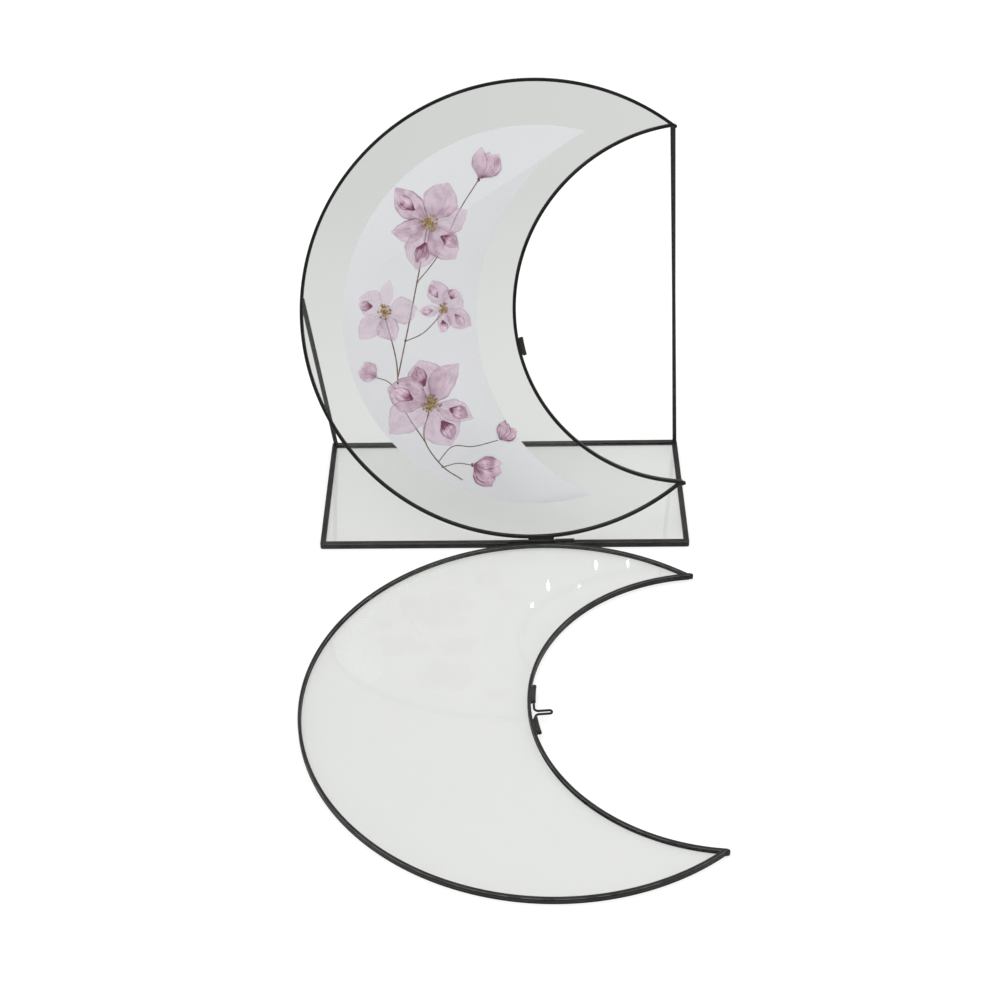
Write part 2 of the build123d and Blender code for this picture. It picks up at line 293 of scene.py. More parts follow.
cameBlack = metalMaterial("blackCame", cameLook)
doorLitBlack = metalMaterial("blackDoorCameLit", doorLitLook)  # painted lighter than the panel's came: painted light, as the door lies nearer the lamps, and more rubbed wear
barBlack = metalMaterial("blackBar", barLook)
wireBlack = metalMaterial("blackWire", wireLook)
tubeBlack = metalMaterial("blackTube", tubeLook)
solderDark = metalMaterial("darkSolder", solderLook)
pinSteel = metalMaterial("pinSteel", pinLook)


def glassMaterial(name, tint, shine=0.5, bending=1.5):
    material, tree, shader = startMaterial(name)
    shader.inputs["Base Color"].default_value = (*tint, 1)
    shader.inputs["Roughness"].default_value = 0
    shader.inputs["IOR"].default_value = bending
    shader.inputs["Transmission Weight"].default_value = 1
    shader.inputs["Specular IOR Level"].default_value = shine
    coords = tree.nodes.new("ShaderNodeTexCoord").outputs["Object"]
    wave = addNoise(tree, coords, 14, 1)
    addBump(tree, shader, wave, 0.0002, 0.25)  # faint draw of sheet glass
    rays = tree.nodes.new("ShaderNodeLightPath")
    clear = tree.nodes.new("ShaderNodeBsdfTransparent")
    clear.inputs["Color"].default_value = (0.97, 0.975, 0.97, 1)
    mix = tree.nodes.new("ShaderNodeMixShader")
    tree.links.new(rays.outputs["Is Shadow Ray"], mix.inputs[0])
    tree.links.new(shader.outputs[0], mix.inputs[1])
    tree.links.new(clear.outputs[0], mix.inputs[2])
    tree.links.new(mix.outputs[0], tree.nodes["Material Output"].inputs["Surface"])
    return material


glassTints = {"panel": (0.955, 0.968, 0.96), "door": (0.960, 0.964, 0.956), "base": (0.965, 0.97, 0.962)}
panelPane = glassMaterial("panelPane", glassTints["panel"])
doorPane = glassMaterial("doorPane", glassTints["door"], 0.012, 1.3)
basePane = glassMaterial("basePane", glassTints["base"], 0.12)


def cardMaterial():
    material, tree, shader = startMaterial("cardPaper")
    coords = tree.nodes.new("ShaderNodeTexCoord").outputs["Object"]
    cloud = addRange(tree, addNoise(tree, coords, 16, 2), 0.3, 0.7)
    fibre = addRange(tree, addNoise(tree, coords, 1800, 3), 0.35, 0.65)
    wash = addMix(tree, cloud, (0.74, 0.74, 0.77, 1), (0.70, 0.715, 0.72, 1))
    paper = addMix(tree, addMath(tree, "MULTIPLY", fibre, 0.12), wash, (0.78, 0.78, 0.79, 1))
    tree.links.new(paper, shader.inputs["Base Color"])
    shader.inputs["Roughness"].default_value = 0.55
    shader.inputs["Specular IOR Level"].default_value = 0.35
    addBump(tree, shader, fibre, 0.00002)
    return material


cardPaper = cardMaterial()
print("materials made")

# floor, sky and lamps
stageSet = {
    "floorSize": 12.0, "floorDrop": 0.0002,
    "white": 0.72, "whiteLit": 0.36,      # what the camera sees: own light, share of lamp light
    "gloss": 0.66, "glossDim": 0.12,      # what shines back from metal and glass
    # painted light: the floor seen through the panes glows, brighter under the frame than behind it and lighter to the
    # right
    "throughLit": (0.30, 0.30, 0.295),    # the floor as the panes show it: share of lamp light,
    "throughNear": (0.53, 0.535, 0.525),  # its own light under the frame
    "throughFar": (0.385, 0.395, 0.385),  # and behind it
    "nearY": 0.05, "farY": 0.36,
    "acrossX": (-0.22, 0.18), "acrossShare": (0.94, 1.09),  # it grows lighter to the right
    "bounce": 0.78,
    "sky": 0.85, "skyThrough": (0.66, 0.67, 0.66),
    "dimY": (-0.95, -0.35),               # the dim side of the room, before the frame
}


def grey(level):
    return (level, level, level, 1)


def addFloor(values):
    clearPick()
    bpy.ops.mesh.primitive_plane_add(size=values["floorSize"], location=(0, 0, -values["floorDrop"]))
    floor = bpy.context.object
    floor.name = "paleFloor"
    material, tree, shader = startMaterial("floorPaint")
    tree.nodes.remove(shader)
    rays = tree.nodes.new("ShaderNodeLightPath").outputs
    coords = tree.nodes.new("ShaderNodeTexCoord").outputs["Object"]
    split = tree.nodes.new("ShaderNodeSeparateXYZ")
    tree.links.new(coords, split.inputs[0])
    # painted light and shade: the glow seen through the panes changes from under the frame to behind it and across
    far = addRange(tree, split.outputs["Y"], values["nearY"], values["farY"])
    through = addMix(tree, far, (*values["throughNear"], 1), (*values["throughFar"], 1))
    across = tree.nodes.new("ShaderNodeVectorMath")
    across.operation = "SCALE"
    tree.links.new(through, across.inputs[0])
    slope = addRange(tree, split.outputs["X"], *values["acrossX"], *values["acrossShare"])
    tree.links.new(slope, across.inputs["Scale"])
    through = across.outputs[0]
    lit = tree.nodes.new("ShaderNodeBsdfDiffuse")
    share = addMix(tree, rays["Is Camera Ray"], grey(values["bounce"]), grey(values["whiteLit"]))
    share = addMix(tree, rays["Is Glossy Ray"], share, grey(values["whiteLit"]))
    share = addMix(tree, rays["Is Transmission Ray"], share, (*values["throughLit"], 1))
    tree.links.new(share, lit.inputs["Color"])
    own = tree.nodes.new("ShaderNodeEmission")
    glow = addMix(tree, rays["Is Camera Ray"], grey(0), grey(values["white"]))
    glow = addMix(tree, rays["Is Glossy Ray"], glow, grey(values["gloss"] - values["whiteLit"]))
    tree.links.new(addMix(tree, rays["Is Transmission Ray"], glow, through), own.inputs["Color"])
    both = tree.nodes.new("ShaderNodeAddShader")
    tree.links.new(lit.outputs[0], both.inputs[0])
    tree.links.new(own.outputs[0], both.inputs[1])
    tree.links.new(both.outputs[0], tree.nodes["Material Output"].inputs["Surface"])
    floor.data.materials.append(material)


def addSky(values):
    world = bpy.data.worlds.new("softRoom")
    bpy.context.scene.world = world
    world.use_nodes = True
    tree = world.node_tree
    rays = tree.nodes.new("ShaderNodeLightPath").outputs
    back = tree.nodes["Background"]
    colour = addMix(tree, rays["Is Camera Ray"], grey(values["sky"]), grey(1))
    split = tree.nodes.new("ShaderNodeSeparateXYZ")
    tree.links.new(tree.nodes.new("ShaderNodeTexCoord").outputs["Generated"], split.inputs[0])
    dim = addRange(tree, split.outputs["Y"], *values["dimY"])
    room = addMix(tree, dim, grey(values["glossDim"]), grey(values["gloss"]))
    colour = addMix(tree, rays["Is Glossy Ray"], colour, room)
    colour = addMix(tree, rays["Is Transmission Ray"], colour, (*values["skyThrough"], 1))
    tree.links.new(colour, back.inputs["Color"])
    back.inputs["Strength"].default_value = 1


lampSet = (
    # name, place, aim, size, power
    ("topSoftbox", (-0.5, -0.3, 1.6), (0, 0.05, 0.1), 1.0, 5.0),
    ("sideSoftbox", (1.3, -0.9, 0.9), (0, 0, 0.1), 0.6, 2.0),
    ("backSoftbox", (1.2, 1.0, 1.9), (0, 0, 0.1), 0.6, 2.5),
)


def addLamps(rows):
    for name, spotAt, aim, size, power in rows:
        lamp = bpy.data.lights.new(name, "AREA")
        lamp.shape, lamp.size, lamp.energy = "DISK", size, power
        holder = bpy.data.objects.new(name, lamp)
        bpy.context.scene.collection.objects.link(holder)
        holder.location = spotAt
        holder.rotation_euler = (Vector(aim) - Vector(spotAt)).to_track_quat("-Z", "Y").to_euler()


# small ceiling lamps of the room, seen as sparks in the door's glass
sparkSet = (
    # place, width, height, strength
    ((0.107, 0.896, 0.779), 0.0040, 0.0105, 0.9),
    ((0.142, 0.897, 0.779), 0.0030, 0.0100, 0.5),
    ((0.052, 0.874, 0.790), 0.0050, 0.0120, 1.1),
    ((0.087, 0.872, 0.789), 0.0034, 0.0092, 0.55),
    ((0.033, 0.851, 0.799), 0.0042, 0.0068, 0.32),
)
sparkGlow = 60.0


def addSparks(rows):
    for number, (spotAt, width, height, strength) in enumerate(rows):
        lamp = bpy.data.lights.new("roomLamp%d" % number, "AREA")
        lamp.shape, lamp.size, lamp.size_y = "ELLIPSE", width, height
        lamp.energy = sparkGlow * strength * math.pi * math.pi / 4 * width * height
        holder = bpy.data.objects.new(lamp.name, lamp)
        bpy.context.scene.collection.objects.link(holder)
        holder.visible_diffuse = False  # they shine only as reflections
        holder.location = spotAt
        aim = Vector((spotAt[0] * 0.3, -0.03, 0.0))
        holder.rotation_euler = (aim - Vector(spotAt)).to_track_quat("-Z", "Y").to_euler()


addFloor(stageSet)
addSky(stageSet)
addLamps(lampSet)
addSparks(sparkSet)
print("stage and lamps set")

# the frame's own nodes keep their shape where it is right, and get their finish here
nodeFinish = {
    "base_glass": basePane, "panel_glass": panelPane, "door_glass": doorPane, "picture_card": cardPaper,
    "stay_right": wireBlack, "stay_left": wireBlack, "hinge_pin": pinSteel, "latch_wire": wireBlack,
    "catch_tube": tubeBlack, "latch_sleeve_lower": tubeBlack, "latch_sleeve_upper": tubeBlack,
}
for nodeName, node in nodes.items():
    finish = nodeFinish.get(nodeName)
    if finish is None:
        finish = solderDark if "solder" in nodeName else tubeBlack if "knuckle" in nodeName else cameBlack
        if "base_bar" in nodeName:
            finish = barBlack
    node.data.materials.clear()
    node.data.materials.append(finish)


# where the leaves and the base stand, from the part's own sizes
hingeLine = Vector((0, -1.2, 4.3)) * mm
leanAngle, doorSlope, crescentTurn, baseTurn = (math.radians(a) for a in (22.6, 0.295763, 1.2, -1.8))
arcUp = 112.0  # from the hinge line to the middle of the outer arc
leafMiddle = 1.65  # from the parting plane to the middle of a leaf


def leafPlace(up, out, side):
    basis = Matrix((Vector((1, 0, 0)), up, out)).transposed().to_4x4()
    turn = Matrix.Rotation(crescentTurn, 4, "Z")
    return Matrix.Translation(hingeLine) @ basis @ Matrix.Translation(Vector((0, arcUp, side * leafMiddle)) * mm) @ turn


panelPlace = leafPlace(Vector((0, math.sin(leanAngle), math.cos(leanAngle))),
                       Vector((0, -math.cos(leanAngle), math.sin(leanAngle))), -1)
doorPlace = leafPlace(Vector((0, -math.cos(doorSlope), -math.sin(doorSlope))),
                      Vector((0, math.sin(doorSlope), -math.cos(doorSlope))), 1)
basePivot = Vector((2.2, -1.2, 0)) * mm
basePlace = (Matrix.Translation(basePivot) @ Matrix.Rotation(baseTurn, 4, "Z") @ Matrix.Translation(-basePivot))

# folded came of the leaves: a U round the glass, modelled once and copied to the door
cameSet = {
    "arc": 110.0, "mouth": 86.2, "mouthRight": 77.7,
    "width": 1.6, "depth": 3.0, "groove": 2.2, "grooveDeep": 1.15,
    "round": 0.28, "creaseIn": 0.42, "creaseWide": 0.38, "creaseDeep": 0.2,
    "stepDegrees": 1.5, "tipReach": 16.0, "tipCut": 1.1,
}


def makeCame(name, centre, radius, glassOut, startDegrees, sweepDegrees, values):
    clearPick()
    half, deep = values["width"] / 2, values["depth"] / 2
    middle = Vector((centre + radius, 0, 0))
    bpy.ops.mesh.primitive_plane_add(size=1, location=middle, rotation=(math.radians(90), 0, 0))
    piece = startEdit(name)
    bpy.ops.transform.resize(value=(values["width"], 1, values["depth"]), center_override=middle)
    glassX = middle.x + glassOut * half
    freeX = middle.x - glassOut * half
    # two cuts on the glass side make the mouth of the groove, four on the free side the creases
    pick("EDGE", lambda e: abs(spot(e).x - glassX) < 0.01)
    bpy.ops.mesh.subdivide(number_cuts=2)
    pick("VERT", lambda v: abs(v.co.x - glassX) < 0.01 and abs(v.co.z) < deep * 0.5)
    bpy.ops.transform.resize(value=(1, 1, values["groove"] / 2 / (deep / 3)), center_override=middle)
    pick("EDGE", lambda e: abs(spot(e).x - freeX) < 0.01)
    bpy.ops.mesh.subdivide(number_cuts=4)
    outer = deep - values["creaseIn"]
    inner = outer - values["creaseWide"]
    pick("VERT", lambda v: abs(v.co.x - freeX) < 0.01 and deep * 0.4 < abs(v.co.z) < deep * 0.8)
    bpy.ops.transform.resize(value=(1, 1, outer / (deep * 0.6)), center_override=middle)
    pick("VERT", lambda v: abs(v.co.x - freeX) < 0.01 and abs(v.co.z) < deep * 0.4)
    bpy.ops.transform.resize(value=(1, 1, inner / (deep * 0.2)), center_override=middle)
    pick("VERT", lambda v: abs(abs(v.co.z) - deep) < 0.01)
    bpy.ops.mesh.bevel(affect="VERTICES", offset=values["round"], segments=3, profile=0.5)
    # swing the section round the circle's centre
    bpy.ops.mesh.select_all(action="SELECT")
    bpy.ops.transform.rotate(value=-math.radians(startDegrees), orient_axis="Z", center_override=(centre, 0, 0))
    steps = round(sweepDegrees / values["stepDegrees"])
    bpy.ops.mesh.spin(steps=steps, angle=math.radians(sweepDegrees), center=(centre, 0, 0), axis=(0, 0, -1))
    bpy.ops.mesh.select_mode(type="VERT")
    bpy.ops.mesh.select_all(action="SELECT")
    bpy.ops.mesh.normals_make_consistent(inside=False)

    def away(point):
        return (Vector((point.x - centre, point.y)).length - radius) * glassOut

    pick("FACE", lambda f: away(spot(f)) > half - 0.01 and abs(spot(f).z) < values["groove"] / 2)
    bpy.ops.mesh.extrude_region_shrink_fatten(TRANSFORM_OT_shrink_fatten={"value": -values["grooveDeep"]})
    pick("FACE", lambda f: away(spot(f)) < -half + 0.01 and inner < abs(spot(f).z) < outer)
    bpy.ops.mesh.extrude_region_shrink_fatten(TRANSFORM_OT_shrink_fatten={"value": -values["creaseDeep"]})
    return piece


def trimTip(piece, up, keep, values):
    # cut one end along the mitre between the two cames
    outer = crossing(values["arc"] + values["width"] / 2, values["mouth"] - values["width"] / 2, up)
    inner = crossing(values["arc"] - values["width"] / 2, values["mouth"] + values["width"] / 2, up)
    line = outer - inner
    normal = Vector((-line.y, line.x, 0)).normalized() * up * keep
    pick("FACE", lambda f: (spot(f) - inner).length < values["tipReach"])
    bpy.ops.mesh.bisect(plane_co=inner, plane_no=normal, use_fill=True, clear_inner=True, threshold=0.0001)
    # and square across the point, where the solder closes it
    point, along = tipLine(up, values)
    pick("FACE", lambda f: (spot(f) - point).length < values["tipReach"])
    bpy.ops.mesh.bisect(plane_co=point - along * values["tipCut"], plane_no=along, use_fill=True, clear_outer=True,
                        threshold=0.0001)


def crossing(arc, mouth, up):
    right = cameSet["mouthRight"]
    x = (arc ** 2 - mouth ** 2 + right ** 2) / (2 * right)
    return Vector((x, up * math.sqrt(arc ** 2 - x ** 2), 0))


def tipLine(up, values):  # a crescent's sharp end, and the way it points
    point = crossing(values["arc"] + values["width"] / 2, values["mouth"] - values["width"] / 2, up)
    fromArc = Vector((point.y, -point.x, 0)).normalized() * up
    fromMouth = Vector((point.y, values["mouthRight"] - point.x, 0)).normalized() * up
    return point, (fromArc + fromMouth).normalized()


def makeLeafCames(values):
    outer = makeCame("panelCameOuter", 0, values["arc"], -1, 49.0, 262.0, values)
    for up in (1, -1):
        trimTip(outer, up, 1, values)
    closeMesh(outer)
    inner = makeCame("panelCameInner", values["mouthRight"], values["mouth"], 1, 93.5, 173.0, values)
    for up in (1, -1):
        trimTip(inner, up, -1, values)
    closeMesh(inner)
    half, deep, small = values["width"] / 2, values["depth"] / 2, 0.03
    for piece, side, centre, radius in ((outer, "outer", 0, values["arc"]),
                                        (inner, "inner", values["mouthRight"], values["mouth"])):
        label = side.capitalize()

        def onRim(point):
            away = abs(math.hypot(point.x - centre, point.y) - radius)
            lip = values["round"] - small
            return away > half - lip and deep - lip < abs(point.z) < deep - small

        # painted highlight: the came's rounded rims are marked to be painted lighter
        paintRimHighlight(piece, onRim)
        twin = copyOf(piece, "doorCame" + label)
        place(piece, panelPlace)
        place(twin, doorPlace)
        finishPiece(piece, cameBlack, "frame", ["panel_came_" + side])
        finishPiece(twin, doorLitBlack, "door", ["door_came_" + side])


makeLeafCames(cameSet)
print("cames made")

# base: one ring of folded bar, cut at the mitres into its four bars
baseSet = {
    "length": 178.4, "depth": 82.8, "middle": (-16.0, 41.4),
    "width": 2.6, "height": 3.1, "corner": 1.2,
    "groove": (0.45, 2.65), "grooveDeep": 1.95,
    "crease": (1.88, 2.12), "creaseDeep": 0.16,
    "roundOuter": 0.34, "roundInner": 0.2, "mitreGap": 0.05,
}


def makeBase(values):
    clearPick()
    middle = Vector((*values["middle"], 0))
    halfX = (values["length"] + values["width"]) / 2
    halfY = (values["depth"] + values["width"]) / 2
    top = values["height"]
    bpy.ops.mesh.primitive_plane_add(size=1, location=middle)
    ring = startEdit("baseRing")
    bpy.ops.transform.resize(value=(2 * halfX, 2 * halfY, 1), center_override=middle)
    bpy.ops.mesh.inset(thickness=values["width"], depth=0)
    bpy.ops.mesh.delete(type="FACE")
    bpy.ops.mesh.select_all(action="SELECT")
    bpy.ops.mesh.extrude_region_move(TRANSFORM_OT_translate={"value": (0, 0, top)})
    bpy.ops.mesh.select_all(action="SELECT")
    bpy.ops.mesh.normals_make_consistent(inside=False)

    def isOuter(point):
        gap = point - middle
        return abs(gap.x) > halfX - 1.5 or abs(gap.y) > halfY - 1.5

    pick("EDGE", lambda e: abs(e.verts[0].co.z - e.verts[1].co.z) > 1 and isOuter(spot(e)))
    bpy.ops.mesh.bevel(offset=values["corner"], segments=5, profile=0.5)
    for level in (*values["groove"], *values["crease"]):
        bpy.ops.mesh.select_all(action="SELECT")
        bpy.ops.mesh.bisect(plane_co=(0, 0, level), plane_no=(0, 0, 1), use_fill=False)

    def wall(face, outer, low, high):
        level = spot(face)
        return abs(face.normal.z) < 0.1 and isOuter(level) == outer and low < level.z < high

    pick("FACE", lambda f: wall(f, False, *values["groove"]))
    bpy.ops.mesh.extrude_region_shrink_fatten(
        TRANSFORM_OT_shrink_fatten={"value": -values["grooveDeep"], "use_even_offset": True})
    pick("FACE", lambda f: wall(f, True, *values["crease"]))
    bpy.ops.mesh.extrude_region_shrink_fatten(
        TRANSFORM_OT_shrink_fatten={"value": -values["creaseDeep"], "use_even_offset": True})

    def rim(edge, outer):
        flat = min(abs(v.co.z - level) for v in edge.verts for level in (0, top)) < 0.01
        level = abs(edge.verts[0].co.z - edge.verts[1].co.z) < 0.01
        upright = any(abs(f.normal.z) < 0.1 for f in edge.link_faces)
        return flat and level and upright and isOuter(spot(edge)) == outer

    pick("EDGE", lambda e: rim(e, True))
    bpy.ops.mesh.bevel(offset=values["roundOuter"], segments=3, profile=0.5)
    pick("EDGE", lambda e: rim(e, False))
    bpy.ops.mesh.bevel(offset=values["roundInner"], segments=2, profile=0.5)
    # cross cuts keep the long faces even
    for count, half, axis in ((18, halfX, Vector((1, 0, 0))), (8, halfY, Vector((0, 1, 0)))):
        for number in range(1, count):
            bpy.ops.mesh.select_all(action="SELECT")
            at = middle + axis * half * (2 * number / count - 1)
            bpy.ops.mesh.bisect(plane_co=at, plane_no=axis, use_fill=False)
    bpy.ops.object.mode_set(mode="OBJECT")
    # each bar keeps the part between its two mitre lines
    for name, cuts in (("front", ((-1, -1, 1, -1), (1, -1, -1, -1), (0, 0, 0, -1))),
                       ("right", ((1, -1, 1, 1), (1, 1, 1, -1))),
                       ("rear", ((1, 1, -1, 1), (-1, 1, 1, 1), (0, 0, 0, 1))),
                       ("left", ((-1, 1, -1, -1), (-1, -1, -1, 1)))):
        bar = copyOf(ring, "baseBar" + name.capitalize())
        onlyPick(bar)
        bpy.ops.object.mode_set(mode="EDIT")
        for sideX, sideY, normalX, normalY in cuts:
            normal = Vector((normalX, normalY, 0)).normalized()
            corner = middle + Vector((sideX * halfX, sideY * halfY, 0)) + normal * values["mitreGap"]
            bpy.ops.mesh.select_all(action="SELECT")
            bpy.ops.mesh.bisect(plane_co=corner, plane_no=normal, use_fill=True, clear_inner=True, threshold=0.0001)
        closeMesh(bar)
        useModifier(bar, "WEIGHTED_NORMAL", keep_sharp=True)
        # painted highlight: the bar's rounded top rim is marked to be painted lighter
        paintRimHighlight(bar, lambda point: top - values["roundInner"] < point.z < top - 0.02)
        place(bar, basePlace)
        finishPiece(bar, barBlack, "frame", ["base_bar_" + name])
    bpy.data.objects.remove(ring)


makeBase(baseSet)
print("base made")

# short rolled tubes: the hinge knuckles, and the bolt's sleeves and catch
tubeSet = {"knuckle": (0.9, 0.56), "sleeve": (0.95, 0.62), "catch": (0.95, 0.7), "round": 0.12, "sides": 40}


def ringFace(name, centre, rotation, outer, bore, values):
    clearPick()
    bpy.ops.mesh.primitive_circle_add(vertices=values["sides"], radius=outer, fill_type="NGON",
                                      location=centre, rotation=rotation)
    piece = startEdit(name)
    bpy.ops.mesh.inset(thickness=outer - bore, depth=0)
    bpy.ops.mesh.delete(type="FACE")
    bpy.ops.mesh.select_all(action="SELECT")
    return piece


def roundEnds(piece, radius, away):
    bpy.ops.mesh.select_all(action="SELECT")
    bpy.ops.mesh.normals_make_consistent(inside=False)
    pick("EDGE", away)
    bpy.ops.mesh.bevel(offset=radius, segments=3, profile=0.5)
    closeMesh(piece)


def makeKnuckle(name, low, high, values):
    outer, bore = values["knuckle"]
    middle = hingeLine / mm
    piece = ringFace(name, (low, middle.y, middle.z), (0, math.radians(90), 0), outer, bore, values)
    bpy.ops.mesh.extrude_region_move(TRANSFORM_OT_translate={"value": (high - low, 0, 0)})

    def rim(edge):
        point = spot(edge)
        level = abs(edge.verts[0].co.x - edge.verts[1].co.x) < 0.01
        reach = math.hypot(point.y - middle.y, point.z - middle.z)
        return level and reach > (outer + bore) / 2 and min(abs(point.x - low), abs(point.x - high)) < 0.01

    roundEnds(piece, values["round"], rim)
    place(piece, Matrix.Identity(4))
    return piece


boltCentre = cameSet["mouthRight"]
boltRadius = 84.15


def boltAngle(height):
    return math.degrees(math.asin((height - cameSet["arc"]) / boltRadius))


def makeSleeve(name, size, low, high, where, side, values):
    # low and high are heights above the foot of the arc
    outer, bore = values[size]
    first, last = -boltAngle(high), -boltAngle(low)
    piece = ringFace(name, (boltCentre - boltRadius, 0, 0), (math.radians(90), 0, 0), outer, bore, values)
    bpy.ops.transform.rotate(value=-math.radians(first), orient_axis="Z", center_override=(boltCentre, 0, 0))
    bpy.ops.mesh.spin(steps=8, angle=math.radians(last - first), center=(boltCentre, 0, 0), axis=(0, 0, -1))

    def rim(edge):
        point = spot(edge)
        turn = math.degrees(math.atan2(-point.y, boltCentre - point.x))
        reach = math.hypot(math.hypot(point.x - boltCentre, point.y) - boltRadius, point.z)
        both = [math.degrees(math.atan2(-v.co.y, boltCentre - v.co.x)) for v in edge.verts]
        return abs(both[0] - both[1]) < 0.05 and reach > (outer + bore) / 2 and \
            min(abs(turn - first), abs(turn - last)) < 0.05

    roundEnds(piece, values["round"], rim)
    place(piece, where @ Matrix.Translation((0, 0, -side * leafMiddle * mm)))
    return piece


# solder: beads over the joints, uneven as they froze
def roughen(piece, strength, grain):
    cloud = bpy.data.textures.new("solderLumps", "CLOUDS")
    cloud.noise_scale = grain
    useModifier(piece, "DISPLACE", texture=cloud, strength=strength, mid_level=0.5, texture_coords="LOCAL")


def softSolder(name, nodeName, body, voxel, strength):
    # the joint's own bead, melted soft: its shape is between pieces that are already made
    piece = copyOf(nodes[nodeName], name)
    useModifier(piece, "REMESH", mode="VOXEL", voxel_size=voxel)
    useModifier(piece, "SMOOTH", factor=0.5, iterations=6)
    roughen(piece, strength, voxel * 6)
    onlyPick(piece)
    bpy.ops.object.shade_smooth()
    finishPiece(piece, solderDark, body, [nodeName])


def makeTube(name, piece, body):
    finishPiece(piece, tubeBlack, body, [name])


makeTube("hinge_knuckle_left", makeKnuckle("hingeKnuckleLeft", -13.95, -4.4, tubeSet), "door")
makeTube("hinge_knuckle_fixed", makeKnuckle("hingeKnuckleFixed", -4.1, 8.5, tubeSet), "frame")
makeTube("hinge_knuckle_right", makeKnuckle("hingeKnuckleRight", 8.8, 18.35, tubeSet), "door")
makeTube("catch_tube", makeSleeve("catchTube", "catch", 90.8, 99.5, panelPlace, -1, tubeSet), "frame")
makeTube("latch_sleeve_lower", makeSleeve("latchSleeveLower", "sleeve", 99.9, 110.2, doorPlace, 1, tubeSet), "door")
makeTube("latch_sleeve_upper", makeSleeve("latchSleeveUpper", "sleeve", 119.8, 129.3, doorPlace, 1, tubeSet), "door")
print("tubes made")

for solderName, nodeName, body, voxel, lumps in (
        ("hingeFootSolder", "hinge_foot_solder", "frame", 0.00016, 0.00022),
        ("hingeLeafSolder", "hinge_leaf_solder", "door", 0.00016, 0.00018)):
    softSolder(solderName, nodeName, body, voxel, lumps)

filletSet = {"wide": 0.72, "rise": 1.0, "middle": 0.72, "inset": 0.25, "shift": 1.08, "lumps": 0.1, "grain": 1.2}


def makeFillet(name, spans, where, side, body, nodeName, values):
    # solder that fills the corner between a tube and the concave edge
    beads = []
    for low, high in spans:
        first, last = -boltAngle(high - values["inset"]), -boltAngle(low + values["inset"])
        middle = Vector((boltCentre - boltRadius - values["shift"], 0, side * values["middle"]))
        clearPick()
        bpy.ops.mesh.primitive_plane_add(size=1, location=middle, rotation=(math.radians(90), 0, 0))
        bead = startEdit(name)
        bpy.ops.transform.resize(value=(values["wide"], 1, values["rise"]), center_override=middle)
        bpy.ops.transform.rotate(value=-math.radians(first), orient_axis="Z", center_override=(boltCentre, 0, 0))
        bpy.ops.mesh.spin(steps=30, angle=math.radians(last - first), center=(boltCentre, 0, 0), axis=(0, 0, -1))
        bpy.ops.mesh.select_all(action="SELECT")
        bpy.ops.mesh.normals_make_consistent(inside=False)
        bpy.ops.object.mode_set(mode="OBJECT")
        useModifier(bead, "REMESH", mode="VOXEL", voxel_size=0.1)
        useModifier(bead, "SMOOTH", factor=0.5, iterations=4)
        roughen(bead, values["lumps"], values["grain"])
        beads.append(bead)
    piece = joined(beads, name)
    bpy.ops.object.shade_smooth()
    place(piece, where @ Matrix.Translation((0, 0, -side * leafMiddle * mm)))
    finishPiece(piece, tubeBlack, body, [nodeName])


makeFillet("catchSolder", ((90.8, 99.5),), panelPlace, -1, "frame", "catch_solder", filletSet)
makeFillet("latchSleeveSolder", ((99.9, 110.2), (119.8, 129.3)), doorPlace, 1, "door", "latch_sleeve_solder", filletSet)

# solder nubs that close the crescents' points
tipSet = {
    "back": 1.55, "radius": {"panel": 0.9, "door": 1.0}, "depth": 2.9, "rim": 0.75, "stretch": 3.2,
    "lumps": 0.12, "grain": 1.1,
    # each point was pulled a little its own way
    "panel": {1: (0.5, -0.5), -1: (0.9, -0.9)}, "door": {1: (0.5, 0.3), -1: (1.15, -0.3)},
}


def makeTipSolder(name, where, leaf, values):
    nubs = []
    for up in (1, -1):
        clearPick()
        bpy.ops.mesh.primitive_cylinder_add(vertices=40, radius=values["radius"][leaf], depth=values["depth"])
        nub = startEdit(name)
        pick("EDGE", lambda e: abs(abs(spot(e).z) - values["depth"] / 2) < 0.01)
        bpy.ops.mesh.bevel(offset=values["rim"], segments=5, profile=0.5)
        # drawn out between the two cames behind the point
        pick("VERT", lambda v: v.co.x < -0.01)
        bpy.ops.transform.resize(value=(values["stretch"], 1, 1), center_override=(0, 0, 0))
        bpy.ops.mesh.select_all(action="SELECT")
        bpy.ops.mesh.subdivide(number_cuts=1)
        point, along = tipLine(up, cameSet)
        bpy.ops.mesh.select_all(action="SELECT")
        bpy.ops.transform.rotate(value=-math.atan2(along.y, along.x), orient_axis="Z", center_override=(0, 0, 0))
        bpy.ops.transform.translate(value=point - along * values["back"] + Vector((*values[leaf][up], 0)))
        bpy.ops.object.mode_set(mode="OBJECT")
        roughen(nub, values["lumps"], values["grain"])
        nubs.append(nub)
    piece = joined(nubs, name)
    closeMesh(piece, 60)
    place(piece, where)
    return piece


panelTips = makeTipSolder("panelTipSolder", panelPlace, "panel", tipSet)
finishPiece(panelTips, cameBlack, "frame", ["panel_tip_solder"])
doorTips = makeTipSolder("doorTipSolder", doorPlace, "door", tipSet)
finishPiece(doorTips, doorLitBlack, "door", ["door_tip_solder"])
print("solder made")

# stays: drawn strip, a little flattened and twisted, soldered behind the panel and on the base's corners
staySet = {
    "steps": 16, "sides": 28, "sink": 0.5,
    "right": {"foot": (73.25, 82.4, 3.1), "head": (69.1, 85.5, -1.65),
              "wide": (2.1, 1.75, 2.5), "thin": 1.75, "twist": 24},
    "left": {"foot": (-104.5, 82.4, 3.1), "head": (-109.1, 12.1, -1.65),
             "wide": (2.3, 2.3, 2.35), "thin": 1.8, "twist": 10},
    "collar": {"foot": (1.12, 0.9), "head": (1.1, 0.6), "lumps": 0.14, "grain": 1.0},
}


